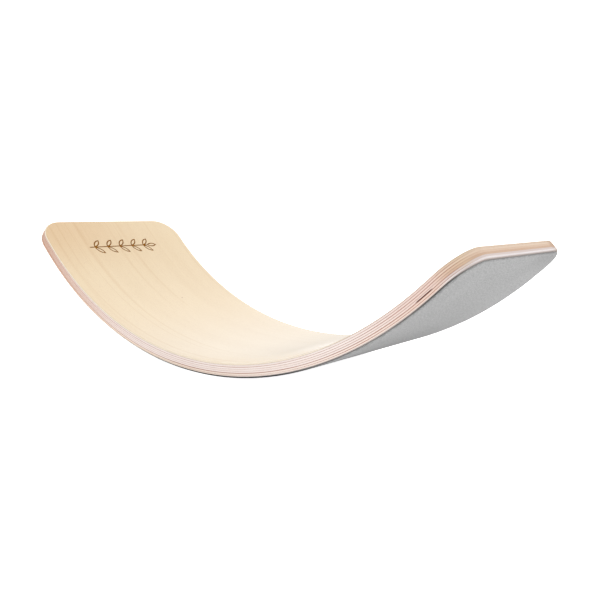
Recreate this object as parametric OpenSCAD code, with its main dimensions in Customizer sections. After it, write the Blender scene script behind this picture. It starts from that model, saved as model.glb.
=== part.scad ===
// Curved balance board: seven moulded beech veneers with glue films between them,
// and a felt pad bonded under the whole convex side.
//
// Origin: the line where the felt touches the floor, in the middle of the board.
// +X runs along the board, +Y across it, +Z up. All lengths are in millimetres.

/* [Board] */
// Length of the standing face, measured along its curve
board_length = 900; // [880:5:1000]
// Width of the board
board_width = 300; // [200:5:400]
// Radius of the curved middle of the standing face
bend_radius = 515; // [450:5:530]
// Angle of the curve from the middle to each straight end
bend_angle = 43.5; // [30:0.5:45]
// Radius of the four corners, seen square to the board
corner_radius = 44; // [20:1:58]
// Radius of the softened upper and lower edges
arris_radius = 3; // [1:0.5:4]

/* [Laminate] */
// Thickness of the veneer on the standing face
face_veneer_t = 1.2; // [1:0.1:2.8]
// Thickness of each of the six veneers under it
veneer_t = 2.6; // [2:0.1:2.8]
// Thickness of one glue film between veneers
glue_t = 0.15; // [0.1:0.05:0.2]

/* [Felt] */
// Thickness of the felt
felt_t = 2; // [1.5:0.5:4]
// Thickness of the adhesive film that holds the felt
felt_glue_t = 0.15; // [0.1:0.05:0.2]
// How far the felt stops short of the wood's edge
felt_inset = 4; // [1:0.5:6]

/* [Engraved sprig] */
// Length of the sprig, across the board
sprig_length = 150; // [80:5:220]
// Pairs of leaves along the stem
leaf_pairs = 5; // [3:1:8]
// Length of one leaf
leaf_length = 23; // [10:1:28]
// Width of one leaf
leaf_width = 9; // [6:0.5:12]
// Width of the engraved lines
line_w = 2.2; // [1:0.2:2.6]
// Depth of the engraved lines
line_depth = 0.5; // [0.2:0.1:0.8]
// Distance from the sprig's stem to the board's end
sprig_from_end = 65; // [40:1:120]

/* [Hidden] */

veneer_count = 7;
pitch = veneer_t + glue_t;                              // one veneer and the glue above it
wood_t = face_veneer_t + (veneer_count - 1) * pitch;
felt_top = wood_t + felt_glue_t;                        // depth of the felt's upper side
board_t = felt_top + felt_t;                            // depth of the felt's lower side
axis_z = bend_radius + board_t;                         // height of the bend's own axis
arc_length = bend_radius * bend_angle * PI / 180;
end_length = board_length / 2 - arc_length;             // straight run at each end
lap_angle = 1;                                          // spare curve that the middle cut takes off
bend_fn = 360;                                          // facets in a full turn of the bend
corner_fn = 96;                                         // facets in a full turn of a corner
arris_fn = 32;                                          // facets in a full turn of an arris
leaf_fn = 180;                                          // facets in a full turn of a leaf's arcs
leaf_angle = 45;                                        // between a leaf and the stem
leaf_tail = 9;                                          // bare stem before the first leaves
spare = 1;                                              // how far a cutting shape runs past

face_colour = [0.93, 0.85, 0.72];
core_colour = [0.90, 0.79, 0.70];
glue_colour = [0.72, 0.52, 0.43];
adhesive_colour = [0.35, 0.33, 0.31];
felt_colour = [0.66, 0.66, 0.67];

// ---- Cross-sections: first axis across the board, second axis the depth below
// ---- the standing face, as a negative number

// Rectangle from -half to half, and from the standing face down to depth t,
// with round corners
module rounded_slab(half, t, r) {
    translate([-half + r, -t]) square([2 * (half - r), t]);
    translate([-half, -t + r]) square([2 * half, t - 2 * r]);
    for (side = [-1, 1], y = [-r, r - t])
        translate([side * (half - r), y]) circle(r, $fn = arris_fn);
}

// Section of one layer between two depths, where the board is 2 * half wide;
// a wooden layer has its share of the softened edges, and a plain one is square
module layer_section(plain, half, from, to) {
    intersection() {
        if (plain) translate([-half, -to]) square([2 * half, to - from]);
        else rounded_slab(half, wood_t, arris_radius);
        translate([-half - spare, -to]) square([2 * (half + spare), to - from]);
    }
}

// The outer half of the same section, from the middle line outwards
module outer_half_section(plain, half, from, to) {
    intersection() {
        layer_section(plain, half, from, to);
        translate([0, -to]) square([half + spare, to - from]);
    }
}

// ---- One layer of the board, from one depth to another, over its whole length

// A straight end, lying flat: it starts at X = 0 and its standing face is at Z = 0
module flat_end(plain, half_width, run, corner, from, to) {
    corner_y = half_width - corner;
    rotate([90, 0, 90])
        linear_extrude(run - corner)
            layer_section(plain, half_width, from, to);
    translate([run - corner, corner_y, 0])
        rotate([90, 0, 0])
            linear_extrude(2 * corner_y)
                outer_half_section(plain, corner, from, to);
    for (side = [-1, 1])
        translate([run - corner, side * corner_y, 0])
            rotate([0, 0, side < 0 ? -90 : 0])
                rotate_extrude(angle = 90, $fn = corner_fn)
                    outer_half_section(plain, corner, from, to);
}

// The curve that rises from X = 0 towards -X, about the Y axis
module curve(plain, half_width, from, to) {
    rotate([-90, 0, 0])
        rotate([0, 0, 90])
            rotate_extrude(angle = bend_angle + lap_angle, $fn = bend_fn)
                translate([bend_radius, 0])
                    rotate([0, 0, 90])
                        layer_section(plain, half_width, from, to);
}

// Moves what lies flat at a straight end, with X = 0 where the curve stops, to
// its place at the board's +X end
module raise_end() {
    translate([0, 0, axis_z])
        rotate([0, -bend_angle, 0])
            translate([0, 0, -bend_radius])
                children();
}

// The half of the board on the +X side; the curve is level at X = 0, where it is
// cut off square
module half_layer(plain, half_width, run, corner, from, to) {
    intersection() {
        raise_end() {
            flat_end(plain, half_width, run, corner, from, to);
            translate([0, 0, bend_radius]) curve(plain, half_width, from, to);
        }
        translate([0, -board_width, -board_t])
            cube([board_length, 2 * board_width, axis_z + board_t]);
    }
}

module layer(from, to, inset = 0, plain = false) {
    for (side = [0, 1])
        mirror([side, 0, 0])
            half_layer(plain, board_width / 2 - inset, end_length - inset,
                corner_radius - inset, from, to);
}

// ---- Engraved sprig, drawn flat with its stem along Y

// Pointed leaf along X from the origin, bounded by two arcs; grow widens it
module leaf_shape(grow) {
    rise = leaf_width / 2;
    r = (leaf_length * leaf_length / 4 + rise * rise) / (2 * rise);
    intersection_for (side = [-1, 1])
        translate([leaf_length / 2, side * (r - rise)]) circle(r + grow, $fn = leaf_fn);
}

module leaf_outline() {
    difference() {
        leaf_shape(0);
        leaf_shape(-line_w);
    }
}

module stem() {
    translate([-line_w / 2, -sprig_length / 2])
        square([line_w, sprig_length - leaf_length]);
    translate([0, -sprig_length / 2]) circle(line_w / 2, $fn = arris_fn);
}

module sprig() {
    tip_y = sprig_length / 2 - leaf_length;
    first_y = -sprig_length / 2 + leaf_tail;
    step = (tip_y - leaf_tail - first_y) / (leaf_pairs - 1);
    stem();
    translate([0, tip_y]) rotate([0, 0, 90]) leaf_outline();
    for (side = [-1, 1], i = [0:leaf_pairs - 1])
        translate([0, first_y + i * step])
            rotate([0, 0, 90 + side * leaf_angle])
                leaf_outline();
}

// The groove that the sprig's lines leave in the standing face, at the -X end
module engraving() {
    intersection() {
        mirror([1, 0, 0])
            raise_end()
                translate([end_length - sprig_from_end, 0, -veneer_t])
                    linear_extrude(2 * veneer_t) sprig();
        layer(-spare, line_depth, plain = true);
    }
}

// ---- Pieces

// Depth of the upper side of veneer number i, counted from 0 at the standing face
function veneer_top(i) = i == 0 ? 0 : face_veneer_t + glue_t + (i - 1) * pitch;

module veneer(i) {
    layer(veneer_top(i), veneer_top(i) + (i == 0 ? face_veneer_t : veneer_t));
}

// Glue film number i, counted from 1, under veneer i - 1
module glue_line(i) {
    color(glue_colour) layer(veneer_top(i) - glue_t, veneer_top(i));
}

module top_face_ply() {
    color(face_colour)
        difference() {
            veneer(0);
            engraving();
        }
}

module core_ply(i) {
    color(core_colour) veneer(i);
}

module bottom_face_ply() {
    color(face_colour) veneer(veneer_count - 1);
}

module felt_adhesive() {
    color(adhesive_colour) layer(wood_t, felt_top, felt_inset, plain = true);
}

module felt_pad() {
    color(felt_colour) layer(felt_top, board_t, felt_inset, plain = true);
}

top_face_ply();
core_ply(1);  // core_ply_1
core_ply(2);  // core_ply_2
core_ply(3);  // core_ply_3
core_ply(4);  // core_ply_4
core_ply(5);  // core_ply_5
bottom_face_ply();
glue_line(1);  // glue_line_1
glue_line(2);  // glue_line_2
glue_line(3);  // glue_line_3
glue_line(4);  // glue_line_4
glue_line(5);  // glue_line_5
glue_line(6);  // glue_line_6
felt_adhesive();
felt_pad();
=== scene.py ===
"""A curved beech balance board with a felt underside, on a white studio floor.

The veneers, glue films and adhesive are the CAD model's own nodes with wood and glue
materials. The felt pad is built here. All lengths are in metres.
"""

import math

import bpy
import numpy as np
from mathutils import Matrix, Vector, noise


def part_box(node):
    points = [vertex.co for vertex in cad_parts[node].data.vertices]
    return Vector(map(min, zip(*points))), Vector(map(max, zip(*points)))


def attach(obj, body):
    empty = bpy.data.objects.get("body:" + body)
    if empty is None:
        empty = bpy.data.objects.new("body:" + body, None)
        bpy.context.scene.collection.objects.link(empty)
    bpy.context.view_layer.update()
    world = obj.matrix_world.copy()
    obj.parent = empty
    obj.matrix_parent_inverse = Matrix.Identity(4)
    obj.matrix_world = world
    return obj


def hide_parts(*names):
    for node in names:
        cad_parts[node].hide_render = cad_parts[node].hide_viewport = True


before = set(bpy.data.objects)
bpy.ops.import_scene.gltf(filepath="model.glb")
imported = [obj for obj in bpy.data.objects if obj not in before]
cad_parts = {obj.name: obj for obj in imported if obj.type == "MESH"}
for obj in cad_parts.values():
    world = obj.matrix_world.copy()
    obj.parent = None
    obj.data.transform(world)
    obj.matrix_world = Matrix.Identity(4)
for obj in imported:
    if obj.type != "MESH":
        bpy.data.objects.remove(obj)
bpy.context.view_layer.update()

MM = 0.001

# The board, as the CAD model bends it
BEND_RADIUS = 515 * MM
BEND_ANGLE = math.radians(43.5)
FACE_VENEER = 1.2 * MM
VENEER = 2.6 * MM
GLUE_FILM = 0.15 * MM
VENEER_COUNT = 7
PITCH = VENEER + GLUE_FILM
WOOD = FACE_VENEER + (VENEER_COUNT - 1) * PITCH
AXIS_HEIGHT = BEND_RADIUS + FACE_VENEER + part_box("top_face_ply")[0].z
HALF_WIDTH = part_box("top_face_ply")[1].y
BOARD_HALF_LENGTH = 450 * MM

# The felt pad
FELT = 2 * MM
FELT_BOTTOM = AXIS_HEIGHT - BEND_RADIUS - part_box("felt_pad")[0].z
FELT_TOP = FELT_BOTTOM - FELT
FELT_HALF_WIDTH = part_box("felt_pad")[1].y
FELT_HALF_LENGTH = BOARD_HALF_LENGTH - (HALF_WIDTH - FELT_HALF_WIDTH)
FELT_CORNER = 40 * MM


# ---- Node helpers


class Graph:
    """Adds nodes to one tree. Its methods take numbers, colours or other outputs, and
    return the new node's output."""

    def __init__(self, tree):
        self.tree = tree

    def node(self, kind, **settings):
        made = self.tree.nodes.new("ShaderNode" + kind)
        for key, value in settings.items():
            setattr(made, key, value)
        return made

    def feed(self, socket, value):
        if isinstance(value, bpy.types.NodeSocket):
            self.tree.links.new(value, socket)
        else:
            socket.default_value = value

    def math(self, operation, *values, clamp=False):
        made = self.node("Math", operation=operation, use_clamp=clamp)
        for socket, value in zip(made.inputs, values):
            self.feed(socket, value)
        return made.outputs[0]

    def add(self, a, b):
        return self.math("ADD", a, b)

    def subtract(self, a, b):
        return self.math("SUBTRACT", a, b)

    def multiply(self, a, b):
        return self.math("MULTIPLY", a, b)

    def split(self, vector):
        made = self.node("SeparateXYZ")
        self.feed(made.inputs[0], vector)
        return made.outputs

    def combine(self, x, y, z):
        made = self.node("CombineXYZ")
        for socket, value in zip(made.inputs, (x, y, z)):
            self.feed(socket, value)
        return made.outputs[0]

    def noise(self, vector, detail=2.0, roughness=0.5, distortion=0.0):
        made = self.node("TexNoise")
        self.feed(made.inputs["Vector"], vector)
        made.inputs["Scale"].default_value = 1.0
        made.inputs["Detail"].default_value = detail
        made.inputs["Roughness"].default_value = roughness
        made.inputs["Distortion"].default_value = distortion
        return made.outputs["Fac"]

    def blend(self, factor, a, b, mode="MIX"):
        made = self.node("Mix", data_type="RGBA", blend_type=mode)
        self.feed(made.inputs["Factor"], factor)
        self.feed(made.inputs[6], a)
        self.feed(made.inputs[7], b)
        return made.outputs[2]

    def step(self, value, low, high, to_low=0.0, to_high=1.0):
        made = self.node("MapRange", interpolation_type="SMOOTHSTEP")
        for socket, number in zip(made.inputs, (value, low, high, to_low, to_high)):
            self.feed(socket, number)
        return made.outputs[0]


def linear(red, green, blue):
    """An 8-bit display colour as the linear colour that nodes use."""
    def one(value):
        value /= 255
        return value / 12.92 if value <= 0.04045 else ((value + 0.055) / 1.055) ** 2.4
    return (one(red), one(green), one(blue), 1.0)


def board_coordinates():
    """A node group: a point's place on the board as it was before bending, in metres, and
    how squarely its surface faces along the board and across it, each from 0 to 1."""
    tree = bpy.data.node_groups.new("board_coordinates", "ShaderNodeTree")
    for name in ("Along", "Across", "Depth", "Facing along", "Facing across"):
        tree.interface.new_socket(name, in_out="OUTPUT", socket_type="NodeSocketFloat")
    g = Graph(tree)
    place = g.node("TexCoord")
    x, y, z = g.split(place.outputs["Object"])
    normal_x, normal_y, normal_z = g.split(place.outputs["Normal"])
    side = g.math("SIGN", x)
    reach = g.math("ABSOLUTE", x)
    drop = g.subtract(AXIS_HEIGHT, z)
    turn = g.math("MINIMUM", g.math("ARCTAN2", reach, drop), BEND_ANGLE)
    sine, cosine = g.math("SINE", turn), g.math("COSINE", turn)
    run = g.subtract(g.multiply(reach, cosine), g.multiply(drop, sine))
    along = g.multiply(side, g.add(g.multiply(turn, BEND_RADIUS), run))
    radial = g.add(g.multiply(reach, sine), g.multiply(drop, cosine))
    facing = g.add(g.multiply(g.multiply(normal_x, side), cosine), g.multiply(normal_z, sine))
    out = tree.nodes.new("NodeGroupOutput")
    tree.links.new(along, out.inputs["Along"])
    tree.links.new(y, out.inputs["Across"])
    tree.links.new(g.subtract(radial, BEND_RADIUS), out.inputs["Depth"])
    tree.links.new(g.multiply(facing, facing), out.inputs["Facing along"])
    tree.links.new(g.multiply(normal_y, normal_y), out.inputs["Facing across"])
    return tree


BOARD_COORDINATES = board_coordinates()


def new_material(name):
    """A material with a Principled shader; returns it with its graph, its shader and the
    board coordinates' outputs."""
    material = bpy.data.materials.new(name)
    material.use_nodes = True
    tree = material.node_tree
    shader = tree.nodes["Principled BSDF"]
    group = tree.nodes.new("ShaderNodeGroup")
    group.node_tree = BOARD_COORDINATES
    return material, Graph(tree), shader, group.outputs


def add_bump(g, shader, height, distance):
    bump = g.node("Bump")
    bump.inputs["Strength"].default_value = 1.0
    bump.inputs["Distance"].default_value = distance
    g.feed(bump.inputs["Height"], height)
    g.feed(shader.inputs["Normal"], bump.outputs[0])


# ---- Wood

# Stretches of the board are pairs: where a change begins and where it is complete. Places
# along the board are negative towards its engraved end, and across it towards the near
# edge. A SHADE is painted shade: it multiplies the colour that it is laid on.

GRAIN_SEED = 5.9                        # each veneer's grain is this much further on
# How fine each pattern of the grain is, along the fibres and across them, per metre
FIGURE_SCALE = (2.0, 14.0)
STREAK_SCALE = (1.4, 150.0)
FIBRE_SCALE = (45.0, 1500.0)
FLECK_SCALE = (420.0, 2600.0)
STREAK_LEVELS = (0.58, 0.74)            # levels of noise that make the edge of a streak
FLECK_LEVELS = (0.60, 0.72)
TONE_LEVELS = (0.30, 0.70)
FIGURE_SHARE = 0.55
TONE_AMOUNT = 0.47
STREAK_AMOUNT = 0.38
FLECK_AMOUNT = 0.28

WOOD_ROUGHNESS = 0.40
STREAK_ROUGHNESS = 0.14
EDGE_ROUGHNESS = 0.70
BARE_ROUGHNESS = 0.90                   # of the groove and the arris in the top veneer
LACQUER = 0.9
LACQUER_ROUGHNESS = 0.15
WOOD_SPECULAR = 0.15
WOOD_RELIEF = 0.03 * MM

# The standing face, and the side of the lowest veneer that the felt covers
PALE_BEECH = linear(243, 221, 184)
WARM_BEECH = linear(229, 200, 159)
UNDER_PALE = linear(218, 206, 198)
UNDER_WARM = linear(204, 190, 180)
FLECK = linear(176, 128, 88)
# Painted shade on the standing face: warm at the engraved end's near corner, and slight and cool
# from the middle to the other end
END_SHADE = linear(243, 232, 221)
END_SHADE_AMOUNT = 0.9
END_SHADE_ALONG = (-300 * MM, -440 * MM)
END_SHADE_ACROSS = (80 * MM, -110 * MM)
BOWL_SHADE = linear(246, 247, 251)
BOWL_SHADE_ALONG = (-230 * MM, -40 * MM)

# The sides: pink, deeper in colour towards the ends, and partly tan in the lowest veneers;
# on the engraved arm, painted shade below the arris leaves the arris as a painted highlight
PINK_PALE = linear(254, 242, 236)
PINK_WARM = linear(246, 226, 216)
PINK_DEEP = linear(230, 198, 184)
PINK_BROWN = linear(226, 198, 180)
PINK_BROWN_ALONG = (-220 * MM, -400 * MM)
TAN_PALE = linear(254, 238, 222)
TAN_WARM = linear(242, 216, 194)
TAN_DEEP = linear(226, 190, 166)
TAN_VENEER = 5
TAN_ALONG = (150 * MM, -80 * MM)
LEAST_TAN = 0.35
DEEP_REACH = (260 * MM, 430 * MM)       # measured from the middle, either way
DEEP_AMOUNT = 0.70
# Painted shade on the engraved arm's sides, kept off the arris so that it reads as a highlight
LEFT_SHADE = linear(236, 222, 214)
LEFT_SHADE_ALONG = (-120 * MM, -310 * MM)
LEFT_SHADE_DEPTH = (0.8 * MM, 3.6 * MM)

# The ends, with a colour for each veneer from the top
END_PALE = (
    linear(226, 208, 180), linear(230, 208, 186), linear(236, 214, 194), linear(230, 204, 182),
    linear(219, 189, 165), linear(225, 211, 206), linear(240, 234, 234))
END_WARM = (
    linear(216, 188, 152), linear(220, 192, 164), linear(226, 198, 172), linear(218, 188, 160),
    linear(206, 170, 140), linear(215, 199, 192), linear(232, 224, 222))
END_ALONG = (392 * MM, 425 * MM)        # the sides take on the end's colours here
TURNED_TO_SIDE = (0.25, 0.85)
TURNED_TO_END = (0.2, 0.8)

# Painted shade on the edge of the far right corner
CORNER_SHADE = linear(232, 222, 212)
CORNER_SHADE_UPPER = linear(204, 188, 172)
CORNER_LOWER_VENEER = 4
CORNER_ACROSS = (92 * MM, 117 * MM)
CORNER_ALONG = (418 * MM, 442 * MM)
OFF_FACE = (0.05, 0.30)

# Painted shade on the lower edge of the lowest veneer: brown towards the engraved end, and a
# dark painted shadow in the gap just above the felt
# Painted shade on the lower arris towards the engraved end
UNDER_BROWN = linear(176, 138, 116)
UNDER_BROWN_AMOUNT = 0.95
UNDER_BROWN_DEPTH = (WOOD - 3.4 * MM, WOOD - 1.0 * MM)
UNDER_BROWN_ALONG = (-60 * MM, -350 * MM)
# Painted shadow in the gap between the lowest veneer and the felt
GAP_SHADOW = linear(74, 70, 66)
GAP_SHADOW_HEIGHTS = (1.00 * MM, 0.85 * MM)  # in the middle, and far from where the board meets the floor
GAP_SHADOW_SOFTNESS = 0.6 * MM
GAP_SHADOW_MIDDLE = 0.34
GAP_SHADOW_OUTER = 0.95
GAP_SHADOW_REACH = (280 * MM, 400 * MM)
GAP_SHADOW_LEFT = 0.80
GAP_SHADOW_LEFT_ALONG = (40 * MM, -60 * MM)
GAP_SHADOW_AT_END = 0.35                     # share of the painted shadow that is left at the ends
GAP_SHADOW_END_REACH = (415 * MM, 442 * MM)
FLOOR_CONTACT_NEAR = 120 * MM                    # half length of the stretch that meets the floor
FLOOR_CONTACT_FAR = 330 * MM


def grain_layers(g, grain, width, thickness, seed):
    """Patterns of one veneer, each from 0 to 1: broad figure, streaks, fibres and the short
    dark flecks of beech. grain runs along the fibres, width and thickness across them."""
    def stretched(scale, shift):
        return g.combine(
            g.multiply(grain, scale[0]),
            g.multiply(width, scale[1]),
            g.add(g.multiply(thickness, scale[1]), seed + shift),
        )
    figure = g.noise(stretched(FIGURE_SCALE, 0.0), 3.0, 0.55, 0.6)
    lines = g.noise(stretched(STREAK_SCALE, 11.0), 2.0, 0.5, 0.3)
    streaks = g.step(lines, *STREAK_LEVELS)
    fibres = g.noise(stretched(FIBRE_SCALE, 23.0), 2.0, 0.6)
    dashes = g.noise(stretched(FLECK_SCALE, 37.0), 1.0, 0.5)
    flecks = g.step(dashes, *FLECK_LEVELS)
    return figure, streaks, fibres, flecks


def wood_tone(g, figure, streaks, fibres):
    """How warm the wood is, from 0 where it is pale to 1."""
    tone = g.add(g.multiply(figure, FIGURE_SHARE), g.multiply(fibres, 1.0 - FIGURE_SHARE))
    tone = g.multiply(g.step(tone, *TONE_LEVELS), TONE_AMOUNT)
    return g.math("ADD", tone, g.multiply(streaks, STREAK_AMOUNT), clamp=True)


def face_colour(g, board, tone, pale, warm):
    """Colour of a broad face, with warm painted shade at the engraved end's near corner and a
    slight cool painted shade from the middle to the other end.
    """
    painted_end_shade = g.multiply(
        g.step(board["Along"], *END_SHADE_ALONG, 0.0, END_SHADE_AMOUNT),
        g.step(board["Across"], *END_SHADE_ACROSS))
    colour = g.blend(painted_end_shade, g.blend(tone, pale, warm), END_SHADE, "MULTIPLY")
    return g.blend(g.step(board["Along"], *BOWL_SHADE_ALONG), colour, BOWL_SHADE, "MULTIPLY")


def side_colour(g, board, tone, number):
    """Colour of a veneer's edge along the sides of the board, with painted shade on the engraved
    arm below the arris.
    """
    along = board["Along"]
    deep = g.step(g.math("ABSOLUTE", along), *DEEP_REACH, 0.0, DEEP_AMOUNT)
    deepest = g.blend(g.step(along, *PINK_BROWN_ALONG), PINK_DEEP, PINK_BROWN)
    colour = g.blend(deep, g.blend(tone, PINK_PALE, PINK_WARM), deepest)
    if number >= TAN_VENEER:
        tan = g.blend(deep, g.blend(tone, TAN_PALE, TAN_WARM), TAN_DEEP)
        colour = g.blend(g.step(along, *TAN_ALONG, LEAST_TAN, 1.0), colour, tan)
    left = g.multiply(
        g.step(along, *LEFT_SHADE_ALONG), g.step(board["Depth"], *LEFT_SHADE_DEPTH))
    return g.blend(left, colour, LEFT_SHADE, "MULTIPLY")


def wood_colour(g, board, tone, flecks, number):
    """Colour of a veneer's clean wood, by its place and by which way it faces."""
    under = number == VENEER_COUNT - 1
    face = face_colour(
        g, board, tone, UNDER_PALE if under else PALE_BEECH, UNDER_WARM if under else WARM_BEECH)
    end = g.blend(tone, END_PALE[number], END_WARM[number])
    side = side_colour(g, board, tone, number)
    side = g.blend(g.step(board["Along"], *END_ALONG), side, end)
    colour = g.blend(g.step(board["Facing across"], *TURNED_TO_SIDE), face, side)
    colour = g.blend(g.step(board["Facing along"], *TURNED_TO_END), colour, end)
    return g.blend(g.multiply(flecks, FLECK_AMOUNT), colour, FLECK)


def lower_edge_painted_shade(g, board, colour):
    """The colour of the lowest veneer with painted shade on its lower edge: brown towards the
    engraved end, and a dark painted shadow just above the felt.
    """
    along, depth = board["Along"], board["Depth"]
    reach = g.math("ABSOLUTE", along)
    arris_shade = g.multiply(
        g.step(depth, *UNDER_BROWN_DEPTH),
        g.step(along, *UNDER_BROWN_ALONG, 0.0, UNDER_BROWN_AMOUNT))
    colour = g.blend(arris_shade, colour, UNDER_BROWN)
    start = g.subtract(WOOD, g.step(reach, FLOOR_CONTACT_NEAR, FLOOR_CONTACT_FAR, *GAP_SHADOW_HEIGHTS))
    amount = g.math(
        "MAXIMUM", g.step(reach, *GAP_SHADOW_REACH, GAP_SHADOW_MIDDLE, GAP_SHADOW_OUTER),
        g.step(along, *GAP_SHADOW_LEFT_ALONG, GAP_SHADOW_MIDDLE, GAP_SHADOW_LEFT))
    amount = g.multiply(amount, g.step(reach, *GAP_SHADOW_END_REACH, 1.0, GAP_SHADOW_AT_END))
    gap_shadow = g.multiply(g.step(depth, start, g.add(start, GAP_SHADOW_SOFTNESS)), amount)
    return g.blend(gap_shadow, colour, GAP_SHADOW)


def shaded_corner(g, board, colour, number):
    """The same colour with painted shade on the edge of the far right corner, deeper on the
    upper veneers.
    """
    shade = CORNER_SHADE if number >= CORNER_LOWER_VENEER else CORNER_SHADE_UPPER
    corner = g.multiply(
        g.step(board["Across"], *CORNER_ACROSS), g.step(board["Along"], *CORNER_ALONG))
    off_face = g.step(g.add(board["Facing along"], board["Facing across"]), *OFF_FACE)
    return g.blend(g.multiply(corner, off_face), colour, shade, "MULTIPLY")


def veneer_material(name, number, grain_along):
    """Beech veneer number 0 to 6 from the top; its grain runs along the board or across."""
    material, g, shader, board = new_material(name)
    grain, width = board["Along"], board["Across"]
    if not grain_along:
        grain, width = width, grain
    seed = GRAIN_SEED * (number + 2)
    figure, streaks, fibres, flecks = grain_layers(g, grain, width, board["Depth"], seed)
    tone = wood_tone(g, figure, streaks, fibres)
    colour = wood_colour(g, board, tone, flecks, number)
    colour = stained_beside_glue(g, board, colour, number)
    if number == VENEER_COUNT - 1:
        colour = lower_edge_painted_shade(g, board, colour)
    if number == RESIN_VENEER:
        colour = g.blend(resin_streak(g, board), colour, RESIN)
    if number == 0:
        dress_top_veneer(g, shader, board, colour, streaks, seed)
    else:
        g.feed(shader.inputs["Base Color"], shaded_corner(g, board, colour, number))
        shader.inputs["Roughness"].default_value = EDGE_ROUGHNESS
    shader.inputs["Specular IOR Level"].default_value = WOOD_SPECULAR
    add_bump(g, shader, g.multiply(g.subtract(fibres, flecks), 0.5), WOOD_RELIEF)
    return material


# A dark resin streak in the near edge of one veneer
RESIN_VENEER = 4
RESIN = linear(70, 28, 24)
RESIN_ALONG = 381.5 * MM
RESIN_HALF_LENGTH = 15 * MM
RESIN_DEPTH = 11.6 * MM
RESIN_HALF_HEIGHT = 0.75 * MM


def resin_streak(g, board):
    """A pointed streak, from 0 outside it to 1 inside."""
    off_along = g.math("ABSOLUTE", g.subtract(board["Along"], RESIN_ALONG))
    off_depth = g.math("ABSOLUTE", g.subtract(board["Depth"], RESIN_DEPTH))
    inside = g.multiply(
        g.step(off_along, RESIN_HALF_LENGTH, 0.6 * RESIN_HALF_LENGTH),
        g.step(off_depth, RESIN_HALF_HEIGHT, 0.5 * RESIN_HALF_HEIGHT))
    return g.multiply(inside, g.math("LESS_THAN", board["Across"], 0.0))


# Wood stained by each glue line, from the line under the top veneer: how dark it is at the
# sides and at the ends
STAIN = linear(176, 108, 84)
STAIN_END = linear(206, 142, 98)
STAIN_STRENGTH = (0.25, 0.60, 0.95, 0.60, 1.00, 0.80)
STAIN_STRENGTH_END = (0.05, 0.10, 0.20, 0.40, 0.08, 0.03)
STAIN_REACH = 0.55 * MM
STAIN_PATCHES = 9.0                     # per metre
FAINT_LINES = (3, 4, 6)
FAINT_ALONG = (140 * MM, 290 * MM)      # these lines are faint up to the first place
FAINTNESS = 0.35


def line_strength(g, board, line):
    """How strongly a glue line shows along the board, up to 1."""
    if line in FAINT_LINES:
        return g.step(board["Along"], *FAINT_ALONG, FAINTNESS, 1.0)
    return 1.0


def add_stain(g, board, colour, distance, line):
    """Wood darkened by the glue that soaked into it, at a distance from glue line 1 to 6."""
    soak = g.noise(g.combine(
        g.multiply(board["Along"], STAIN_PATCHES), g.multiply(board["Across"], STAIN_PATCHES),
        3.7 * line), 3.0)
    patchy = g.step(soak, 0.30, 0.70, 0.7, 1.0)
    reach = g.multiply(patchy, STAIN_REACH)
    end = board["Facing along"]
    strength = g.step(end, 0.1, 0.9, STAIN_STRENGTH[line - 1], STAIN_STRENGTH_END[line - 1])
    strength = g.multiply(strength, line_strength(g, board, line))
    amount = g.multiply(g.step(distance, reach, g.multiply(reach, 0.35)), strength)
    return g.blend(g.multiply(amount, patchy), colour, g.blend(end, STAIN, STAIN_END))


def stained_beside_glue(g, board, colour, number):
    """The colour of a veneer with the stains of the glue lines over and under it."""
    bottom = FACE_VENEER + number * PITCH
    if number > 0:
        below_line = g.subtract(board["Depth"], bottom - VENEER)
        colour = add_stain(g, board, colour, below_line, number)
    if number < VENEER_COUNT - 1:
        above_line = g.subtract(bottom, board["Depth"])
        colour = add_stain(g, board, colour, above_line, number + 1)
    return colour


# A pin knot in the standing face
KNOT_ALONG = -230 * MM
KNOT_ACROSS = 26 * MM
KNOT_RADIUS = 2.6 * MM
KNOT_AMOUNT = 0.55


def pin_knot(g, board):
    """A small round mark, from 0 outside it to 1 at its middle."""
    off_along = g.subtract(board["Along"], KNOT_ALONG)
    off_across = g.subtract(board["Across"], KNOT_ACROSS)
    square = g.add(g.multiply(off_along, off_along), g.multiply(off_across, off_across))
    return g.step(g.math("SQRT", square), KNOT_RADIUS, 0.0)


# The engraved sprig: its frame on the standing face, at the -X end, and its burnt groove
SPRIG_ALONG = -385 * MM
SPRIG_HALF_ALONG = 24 * MM
SPRIG_HALF_ACROSS = 84 * MM
GROOVE_DEPTH = (0.02 * MM, 0.20 * MM)
CHAR_DARK = linear(112, 66, 10)
CHAR_LIGHT = linear(172, 116, 38)
CHAR_PATCHES = (700.0, 900.0)           # per metre, along the board and across it

# The arris of the top veneer: warm beside the face, with a pale painted highlight on its turn
# towards the side, and painted shade on the right arm and round its end
ARRIS_BEECH = linear(238, 206, 166)
ARRIS_HIGHLIGHT = linear(255, 247, 229)
ARRIS_RIGHT_SHADE = linear(198, 173, 151)
ARRIS_END_SHADE = linear(204, 182, 156)
ARRIS_AMOUNT = 0.9
ARRIS_DEPTH = (0.02 * MM, 0.50 * MM)
ARRIS_TURN = (0.02, 0.15)
ARRIS_TO_SIDE = (0.80, 0.50)
ARRIS_PALE_ALONG = (100 * MM, -150 * MM)
ARRIS_LEAST_PALE = 0.85
ARRIS_RIGHT_ALONG = (200 * MM, 310 * MM)
ARRIS_END_TURN = (0.02, 0.30)
ARRIS_END_ALONG = (370 * MM, 410 * MM)


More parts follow.
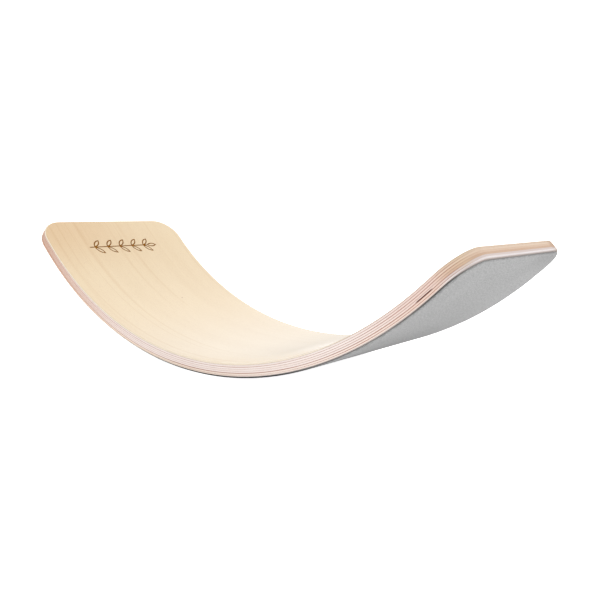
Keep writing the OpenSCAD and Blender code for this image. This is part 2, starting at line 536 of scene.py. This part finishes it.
def engraved_and_arris(g, board):
    """Two masks of the top veneer, which only lies lower than the standing face in the
    sprig's groove and at the arris."""
    off_along = g.math("ABSOLUTE", g.subtract(board["Along"], SPRIG_ALONG))
    off_across = g.math("ABSOLUTE", board["Across"])
    near_sprig = g.multiply(
        g.math("LESS_THAN", off_along, SPRIG_HALF_ALONG),
        g.math("LESS_THAN", off_across, SPRIG_HALF_ACROSS))
    groove = g.multiply(near_sprig, g.step(board["Depth"], *GROOVE_DEPTH))
    arris = g.multiply(g.subtract(1.0, near_sprig), g.step(board["Depth"], *ARRIS_DEPTH))
    return groove, arris


def arris_colour_with_painted_light(g, board):
    # The bare arris's own warm colour, a painted highlight on its turn towards the side, and
    # painted shade on the right arm and round the right end
    along, across = board["Along"], board["Facing across"]
    pale = g.step(along, *ARRIS_PALE_ALONG, ARRIS_LEAST_PALE, 1.0)
    tint = g.blend(g.multiply(g.step(across, *ARRIS_TURN), pale), ARRIS_BEECH, ARRIS_HIGHLIGHT)
    tint = g.blend(g.step(along, *ARRIS_RIGHT_ALONG), tint, ARRIS_RIGHT_SHADE)
    at_end = g.multiply(
        g.step(board["Facing along"], *ARRIS_END_TURN), g.step(along, *ARRIS_END_ALONG))
    return g.blend(at_end, tint, ARRIS_END_SHADE)


def dress_top_veneer(g, shader, board, colour, streaks, seed):
    """Lacquers the standing face, leaves its arris bare and tinted, with a painted highlight and
    painted shade, gives the far right corner painted shade, and browns the engraved groove."""
    groove, arris = engraved_and_arris(g, board)
    patches = g.noise(g.combine(
        g.multiply(board["Along"], CHAR_PATCHES[0]),
        g.multiply(board["Across"], CHAR_PATCHES[1]), seed), 3.0)
    char = g.blend(g.step(patches, 0.35, 0.65), CHAR_DARK, CHAR_LIGHT)
    colour = g.blend(g.multiply(pin_knot(g, board), KNOT_AMOUNT), colour, FLECK)
    tinted = g.multiply(arris, g.step(board["Facing across"], *ARRIS_TO_SIDE))
    colour = g.blend(g.multiply(tinted, ARRIS_AMOUNT), colour, arris_colour_with_painted_light(g, board))
    colour = shaded_corner(g, board, colour, 0)
    g.feed(shader.inputs["Base Color"], g.blend(groove, colour, char))
    bare = g.add(groove, arris)
    rough = g.add(WOOD_ROUGHNESS, g.multiply(streaks, STREAK_ROUGHNESS))
    rough = g.math("MAXIMUM", rough, g.multiply(bare, BARE_ROUGHNESS))
    g.feed(shader.inputs["Roughness"], rough)
    g.feed(shader.inputs["Coat Weight"], g.multiply(g.subtract(1.0, bare), LACQUER))
    shader.inputs["Coat Roughness"].default_value = LACQUER_ROUGHNESS


# ---- Glue

# How pale each glue line is, from 0 for the darkest to 1
GLUE_PALENESS = (0.55, 0.35, 0.00, 0.40, 0.0, 0.15)
GLUE_DARK = linear(84, 30, 18)
GLUE_BROWN = linear(130, 58, 38)
GLUE_PALE = linear(206, 164, 140)
GLUE_END = linear(230, 210, 196)
GLUE_END_AMOUNT = 0.9
GLUE_PATCHES = (30.0, 400.0)            # per metre, along or across, and through the board
ADHESIVE_DARK = linear(66, 62, 58)
ADHESIVE_PALE = linear(108, 100, 90)
ADHESIVE_PATCHES = 60.0


def glue_material(line):
    """The cured film of glue line 1 to 6, seen as a fine reddish-brown line."""
    material, g, shader, board = new_material(f"glue_film_{line}")
    broad, thin = GLUE_PATCHES
    vector = g.combine(
        g.multiply(board["Along"], broad), g.multiply(board["Across"], broad),
        g.multiply(board["Depth"], thin))
    patches = g.noise(vector, 4.0, 0.6)
    colour = g.blend(g.step(patches, 0.35, 0.65), GLUE_DARK, GLUE_BROWN)
    paleness = g.multiply(g.step(patches, 0.40, 0.60, 0.7, 1.0), GLUE_PALENESS[line - 1])
    faint = g.multiply(g.subtract(1.0, line_strength(g, board, line)), 0.8)
    colour = g.blend(g.math("MAXIMUM", paleness, faint), colour, GLUE_PALE)
    colour = g.blend(g.multiply(board["Facing along"], GLUE_END_AMOUNT), colour, GLUE_END)
    g.feed(shader.inputs["Base Color"], colour)
    g.feed(shader.inputs["Roughness"], g.add(0.35, g.multiply(patches, 0.2)))
    return material


def adhesive_material():
    """The dark contact adhesive that shows as a hairline round the felt."""
    material, g, shader, board = new_material("felt_adhesive_film")
    vector = g.combine(
        g.multiply(board["Along"], ADHESIVE_PATCHES),
        g.multiply(board["Across"], ADHESIVE_PATCHES), 3.0)
    patches = g.noise(vector, 4.0, 0.6)
    g.feed(shader.inputs["Base Color"], g.blend(patches, ADHESIVE_DARK, ADHESIVE_PALE))
    g.feed(shader.inputs["Roughness"], g.add(0.45, g.multiply(patches, 0.3)))
    return material


# ---- Felt

FELT_DARK = linear(154, 154, 154)
FELT_PALE = linear(183, 183, 183)
# Painted shade for the felt near the floor
FELT_SHADE = linear(18, 22, 28)
FELT_CUT = linear(178, 178, 177)
FELT_CUT_END = linear(176, 176, 176)
# Painted shade on the felt's cut edge where it meets the floor
FELT_CUT_SHADE = linear(62, 62, 64)
# Patterns of the felt: how fine each is, per metre, and its share of the tone
CLOUD_SCALE = 30.0
MOTTLE_SCALE = 400.0
TANGLE_SCALE = 900.0
CLOUD_SHARE = 0.06
MOTTLE_SHARE = 0.60
TANGLE_SHARE = 0.34
FELT_TONE_LEVELS = (0.41, 0.59)
FELT_RELIEF = 0.35 * MM
# Painted shade on the felt where it meets the floor, and a little at the far right corner
FELT_SHADE_REACH = (330 * MM, 60 * MM)
FELT_SHADE_AMOUNTS = (0.04, 0.16)
FELT_SHADE_CORNER = 0.12
FELT_SHADE_CORNER_ACROSS = (20 * MM, 90 * MM)
FELT_SHADE_CORNER_ALONG = (395 * MM, 440 * MM)
CUT_DEPTH = (FELT_BOTTOM - 1.2 * MM, FELT_BOTTOM - 1.6 * MM)
CUT_SHADE_DEPTH = (FELT_BOTTOM - 0.2 * MM, FELT_BOTTOM - 0.6 * MM)


def felt_face(g, board, tone):
    """Colour of the felt's lower face, with painted shade where it meets the floor and at the
    far right corner.
    """
    reach = g.math("ABSOLUTE", board["Along"])
    corner = g.multiply(
        g.step(board["Across"], *FELT_SHADE_CORNER_ACROSS),
        g.step(board["Along"], *FELT_SHADE_CORNER_ALONG))
    painted_felt_shade = g.add(
        g.step(reach, *FELT_SHADE_REACH, *FELT_SHADE_AMOUNTS), g.multiply(corner, FELT_SHADE_CORNER))
    return g.blend(painted_felt_shade, g.blend(tone, FELT_DARK, FELT_PALE), FELT_SHADE)


def felt_colour(g, board, tone):
    """Colour of the felt: its face, and its cut edge, with painted shade on the edge near the
    floor.
    """
    near_floor = g.step(g.math("ABSOLUTE", board["Along"]), FLOOR_CONTACT_FAR, FLOOR_CONTACT_NEAR)
    cut = g.step(board["Depth"], *CUT_DEPTH)
    shaded_cut = g.multiply(near_floor, g.step(board["Depth"], *CUT_SHADE_DEPTH))
    edge = g.blend(near_floor, g.blend(board["Facing along"], FELT_CUT, FELT_CUT_END), FELT_CUT_SHADE)
    return g.blend(g.math("MAXIMUM", cut, shaded_cut), felt_face(g, board, tone), edge)


def felt_material():
    """Pressed wool felt: tangled fibres, fine mottling and a soft sheen."""
    material, g, shader, board = new_material("felt_wool")

    def scaled(factor, shift):
        return g.combine(
            g.multiply(board["Along"], factor), g.multiply(board["Across"], factor),
            g.add(g.multiply(board["Depth"], factor), shift))
    clouds = g.noise(scaled(CLOUD_SCALE, 2.0), 3.0, 0.5)
    mottle = g.noise(scaled(MOTTLE_SCALE, 5.0), 2.0, 0.6)
    tangle = g.noise(scaled(TANGLE_SCALE, 9.0), 4.0, 0.7, 1.6)
    tone = g.add(g.multiply(clouds, CLOUD_SHARE), g.multiply(mottle, MOTTLE_SHARE))
    tone = g.step(g.add(tone, g.multiply(tangle, TANGLE_SHARE)), *FELT_TONE_LEVELS)
    g.feed(shader.inputs["Base Color"], felt_colour(g, board, tone))
    shader.inputs["Roughness"].default_value = 0.95
    shader.inputs["Specular IOR Level"].default_value = 0.2
    shader.inputs["Sheen Weight"].default_value = 0.06
    shader.inputs["Sheen Roughness"].default_value = 0.5
    relief = g.add(g.multiply(mottle, 0.4), g.multiply(tangle, 0.6))
    add_bump(g, shader, relief, FELT_RELIEF)
    return material


def board_point(along, across, depth):
    """Where a place on the flat board goes when the board is bent; arrays or numbers."""
    turn = np.minimum(np.abs(along) / BEND_RADIUS, BEND_ANGLE)
    run = np.abs(along) - turn * BEND_RADIUS
    reach = (BEND_RADIUS + depth) * np.sin(turn) + run * np.cos(turn)
    drop = (BEND_RADIUS + depth) * np.cos(turn) - run * np.sin(turn)
    return np.stack([np.sign(along) * reach, across, AXIS_HEIGHT - drop], axis=-1)


FELT_ROUNDING = 0.9 * MM
FELT_SPACING = 2.5 * MM
FELT_CORNER_STEPS = 30
FELT_ROUND_STEPS = 4
# How unevenly the lower face is pressed, in small dents that come and go over larger
# areas, and how ragged the cut edge is
DENT_DEPTH = 0.16 * MM
DENT_SCALE = 70.0
DENT_AREA_SCALE = 9.0
LEAST_DENTED = 0.2
RAGGED_WIDTH = 0.30 * MM
RAGGED_SCALE = 160.0


def felt_rows(inset):
    """Rows of the felt's outline, drawn in by inset: each row's place along the board, its
    half width, and how far its end leans along the board, from -1 to 1."""
    corner = FELT_CORNER - inset
    straight = FELT_HALF_LENGTH - FELT_CORNER
    middle = np.linspace(-straight, straight, int(2 * straight / FELT_SPACING) + 1)
    turn = np.linspace(0, math.pi / 2, FELT_CORNER_STEPS + 1)[1:]
    end_place = straight + corner * np.sin(turn)
    end_half = FELT_HALF_WIDTH - FELT_CORNER + corner * np.cos(turn)
    side_half = np.full(len(middle), FELT_HALF_WIDTH - inset)
    place = np.concatenate([-end_place[::-1], middle, end_place])
    half = np.concatenate([end_half[::-1], side_half, end_half])
    lean = np.concatenate([-np.sin(turn)[::-1], np.zeros(len(middle)), np.sin(turn)])
    return place, half, lean


def felt_grid():
    """The flat felt inside its rounding: its points (along, across), a table of their
    indices by row, and the lean of each row's end."""
    place, half, lean = felt_rows(FELT_ROUNDING)
    columns = np.linspace(-1, 1, int(2 * FELT_HALF_WIDTH / FELT_SPACING) + 1)
    flat = np.stack([
        np.repeat(place, len(columns)), (half[:, None] * columns[None, :]).ravel()], axis=-1)
    return flat, np.arange(len(flat)).reshape(len(place), len(columns)), lean


def felt_outline(index, lean):
    """Indices of the grid's outer points in order, and the way out (along, across) at each."""
    loop = np.concatenate([
        index[0, :-1], index[:-1, -1], index[-1, :0:-1], index[:0:-1, 0]])
    over_end = index.shape[1] - 1
    out_across = np.sqrt(1 - lean ** 2)
    outward = np.concatenate([
        np.tile([-1.0, 0.0], (over_end, 1)),
        np.stack([lean[:-1], out_across[:-1]], axis=-1),
        np.tile([1.0, 0.0], (over_end, 1)),
        np.stack([lean[:0:-1], -out_across[:0:-1]], axis=-1)])
    return loop, outward


def unevenness(points, scale, detail, seed):
    """Smooth noise from 0 to 1 at each point of the flat felt."""
    shift = Vector((seed, 2 * seed, 3 * seed))
    return np.array([
        0.5 + 0.5 * noise.fractal(Vector((a, b, 0.0)) * scale + shift, 1.0, 2.0, detail)
        for a, b in points])


def felt_edge(outline, outward, press):
    """Rings of points round the felt's soft edge, from its lower face to its upper face."""
    ragged = RAGGED_WIDTH * (unevenness(outline, RAGGED_SCALE, 3, 8.3) - 0.5)
    rings = []
    for step in range(1, FELT_ROUND_STEPS + 2):
        angle = min(step / FELT_ROUND_STEPS, 1.0) * math.pi / 2
        out = FELT_ROUNDING * math.sin(angle) + ragged * math.sin(angle)
        rise = FELT_ROUNDING * (1 - math.cos(angle))
        depth = FELT_BOTTOM - rise - press * math.cos(angle)
        if step > FELT_ROUND_STEPS:
            depth = np.full(len(outline), FELT_TOP)
        edge = outline + outward * out[:, None]
        rings.append(board_point(edge[:, 0], edge[:, 1], depth))
    return rings


def quads(a, b, c, d):
    return np.stack([a.ravel(), b.ravel(), c.ravel(), d.ravel()], axis=-1)


def felt_faces(index, loop, ring_count):
    """Faces of the lower side, the upper side and the edge. The vertices are the grid's for
    the lower side, the grid's again for the upper side, and then the edge's rings."""
    low = quads(index[:-1, :-1], index[:-1, 1:], index[1:, 1:], index[1:, :-1])
    high = quads(index[:-1, :-1], index[1:, :-1], index[1:, 1:], index[:-1, 1:]) + index.size
    rings = [loop]
    for number in range(ring_count):
        rings.append(np.arange(len(loop)) + 2 * index.size + number * len(loop))
    rings.append(loop + index.size)
    faces = [low, high]
    for inner, outer in zip(rings[:-1], rings[1:]):
        faces.append(quads(inner, np.roll(inner, -1), np.roll(outer, -1), outer))
    return np.concatenate(faces)


def felt_mesh():
    """The felt pad as a closed mesh: a bonded upper face, an uneven lower face, and a soft
    rounded edge between them."""
    flat, index, lean = felt_grid()
    loop, outward = felt_outline(index, lean)
    press = DENT_DEPTH * np.clip(unevenness(flat, DENT_SCALE, 4, 1.7), 0, 1)
    press *= np.clip(unevenness(flat, DENT_AREA_SCALE, 2, 5.1), LEAST_DENTED, 1)
    lower = board_point(flat[:, 0], flat[:, 1], FELT_BOTTOM - press)
    upper = board_point(flat[:, 0], flat[:, 1], np.full(len(flat), FELT_TOP))
    rings = felt_edge(flat[loop], outward, press[loop])
    vertices = np.concatenate([lower, upper] + rings)
    mesh = bpy.data.meshes.new("felt_sheet")
    mesh.from_pydata(vertices.tolist(), [], felt_faces(index, loop, len(rings)).tolist())
    mesh.validate()
    mesh.shade_smooth()
    return mesh


def make_felt():
    felt = bpy.data.objects.new("felt_sheet", felt_mesh())
    bpy.context.scene.collection.objects.link(felt)
    felt.data.materials.append(felt_material())
    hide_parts("felt_pad")
    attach(felt, "root")


# ---- The CAD nodes' materials


def dress_cad_nodes():
    names = ["top_face_ply"]
    names += [f"core_ply_{number}" for number in range(1, VENEER_COUNT - 1)]
    names += ["bottom_face_ply"]
    looks = {
        name: veneer_material(f"beech_{name}", number, number % 2 == 0)
        for number, name in enumerate(names)
    }
    for number in range(1, VENEER_COUNT):
        looks[f"glue_line_{number}"] = glue_material(number)
    looks["felt_adhesive"] = adhesive_material()
    for name, material in looks.items():
        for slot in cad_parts[name].material_slots:
            slot.material = material


# ---- Stage, light and camera


CAMERA_PLACE = (0.7218, -0.8360, 0.2456)
CAMERA_YAW = math.radians(38.096)
CAMERA_PITCH = math.radians(-7.921)
CAMERA_ROLL = math.radians(1.155)
CAMERA_LENS = 42.588

FLOOR_HALF = 30.0
WHITE = (1.0, 1.0, 1.0, 1.0)
FLOOR_COLOUR = (0.85, 0.85, 0.85, 1.0)
FLOOR_ROUGHNESS = 0.9
FLOOR_SPECULAR = 0.1
FLOOR_GLOW = 0.47                       # what lights the board
FLOOR_SHOWN_GLOW = 0.97                 # what the camera sees
# The floor lights the board less where the board shades it: not at all up to the first
# distance from the middle, and fully from the second
SHADOW_LENGTH = (0.08, 0.35)
SHADOW_WIDTH = (0.12, 0.20)
# The studio's soft light, by the direction it comes from: strengths low down and higher up.
# The first number is the direction's angle from +X; the camera stands at -49 degrees.
SOFT_LIGHT = {
    "front": (-49, 0.42, 0.75),
    "right": (41, 1.60, 0.62),
    "back": (131, 0.80, 2.30),
    "left": (221, 0.35, 0.35),
}
OVERHEAD_LIGHT = 0.86
BACKDROP_STRENGTH = 1.10
FRONT_BOX_PLACE = (-0.175, -1.42, 2.05)
FRONT_BOX_SIZE = 1.0
FRONT_BOX_POWER = 7


def make_floor():
    mesh = bpy.data.meshes.new("floor")
    corners = [(-1, -1), (1, -1), (1, 1), (-1, 1)]
    points = [(x * FLOOR_HALF, y * FLOOR_HALF, 0) for x, y in corners]
    mesh.from_pydata(points, [], [(0, 1, 2, 3)])
    floor = bpy.data.objects.new("floor", mesh)
    bpy.context.scene.collection.objects.link(floor)
    material = bpy.data.materials.new("white_floor")
    material.use_nodes = True
    g = Graph(material.node_tree)
    x, y, _ = g.split(g.node("TexCoord").outputs["Object"])
    clear = g.math(
        "MAXIMUM", g.step(g.math("ABSOLUTE", x), *SHADOW_LENGTH),
        g.step(g.math("ABSOLUTE", y), *SHADOW_WIDTH))
    lit = g.multiply(clear, FLOOR_GLOW)
    seen = g.node("LightPath").outputs["Is Camera Ray"]
    glow = g.add(lit, g.multiply(seen, g.subtract(FLOOR_SHOWN_GLOW, lit)))
    shader = material.node_tree.nodes["Principled BSDF"]
    shader.inputs["Base Color"].default_value = FLOOR_COLOUR
    shader.inputs["Roughness"].default_value = FLOOR_ROUGHNESS
    shader.inputs["Specular IOR Level"].default_value = FLOOR_SPECULAR
    shader.inputs["Emission Color"].default_value = WHITE
    g.feed(shader.inputs["Emission Strength"], glow)
    mesh.materials.append(material)


def make_sky():
    """Soft light from all round, stronger from the back and the right; the camera itself
    sees an even white backdrop."""
    world = bpy.data.worlds.new("studio")
    world.use_nodes = True
    bpy.context.scene.world = world
    tree = world.node_tree
    g = Graph(tree)
    x, y, z = g.split(g.node("TexCoord").outputs["Generated"])
    up = g.math("MAXIMUM", z, 0.0)
    level = g.subtract(1.0, up)
    spread = g.math("MAXIMUM", g.math("SQRT", g.add(g.multiply(x, x), g.multiply(y, y))), 1e-6)
    low, high = 0.0, 0.0
    for angle, low_strength, high_strength in SOFT_LIGHT.values():
        turn = math.radians(angle)
        toward = g.add(g.multiply(x, math.cos(turn)), g.multiply(y, math.sin(turn)))
        toward = g.math("MAXIMUM", g.math("DIVIDE", toward, spread), 0.0)
        share = g.multiply(toward, toward)
        low = g.add(low, g.multiply(share, low_strength))
        high = g.add(high, g.multiply(share, high_strength))
    strength = g.multiply(g.multiply(level, level), low)
    strength = g.add(strength, g.multiply(g.multiply(g.multiply(level, up), 2.0), high))
    strength = g.add(strength, g.multiply(g.multiply(up, up), OVERHEAD_LIGHT))
    seen = g.node("LightPath").outputs["Is Camera Ray"]
    shown = g.add(
        g.multiply(seen, BACKDROP_STRENGTH), g.multiply(g.subtract(1.0, seen), strength))
    background = tree.nodes["Background"]
    background.inputs["Color"].default_value = WHITE
    g.feed(background.inputs["Strength"], shown)


def area_light(name, place, target, size, power):
    data = bpy.data.lights.new(name, "AREA")
    data.shape = "SQUARE"
    data.size = size
    data.energy = power
    light = bpy.data.objects.new(name, data)
    light.location = place
    toward = Vector(target) - Vector(place)
    light.rotation_mode = "QUATERNION"
    light.rotation_quaternion = toward.to_track_quat("-Z", "Y")
    bpy.context.scene.collection.objects.link(light)


def make_camera():
    data = bpy.data.cameras.new("camera")
    data.lens = CAMERA_LENS
    data.clip_start, data.clip_end = 0.05, 100
    camera = bpy.data.objects.new("camera", data)
    turn = Matrix.Rotation(CAMERA_YAW, 4, "Z")
    turn @= Matrix.Rotation(math.pi / 2 + CAMERA_PITCH, 4, "X")
    turn @= Matrix.Rotation(CAMERA_ROLL, 4, "Z")
    camera.matrix_world = Matrix.Translation(CAMERA_PLACE) @ turn
    bpy.context.scene.collection.objects.link(camera)
    bpy.context.scene.camera = camera


def make_stage():
    make_floor()
    make_sky()
    area_light("front_box", FRONT_BOX_PLACE, (0, 0, 0), FRONT_BOX_SIZE, FRONT_BOX_POWER)
    make_camera()
    bpy.context.scene.view_settings.view_transform = "Standard"


dress_cad_nodes()
make_felt()
make_stage()
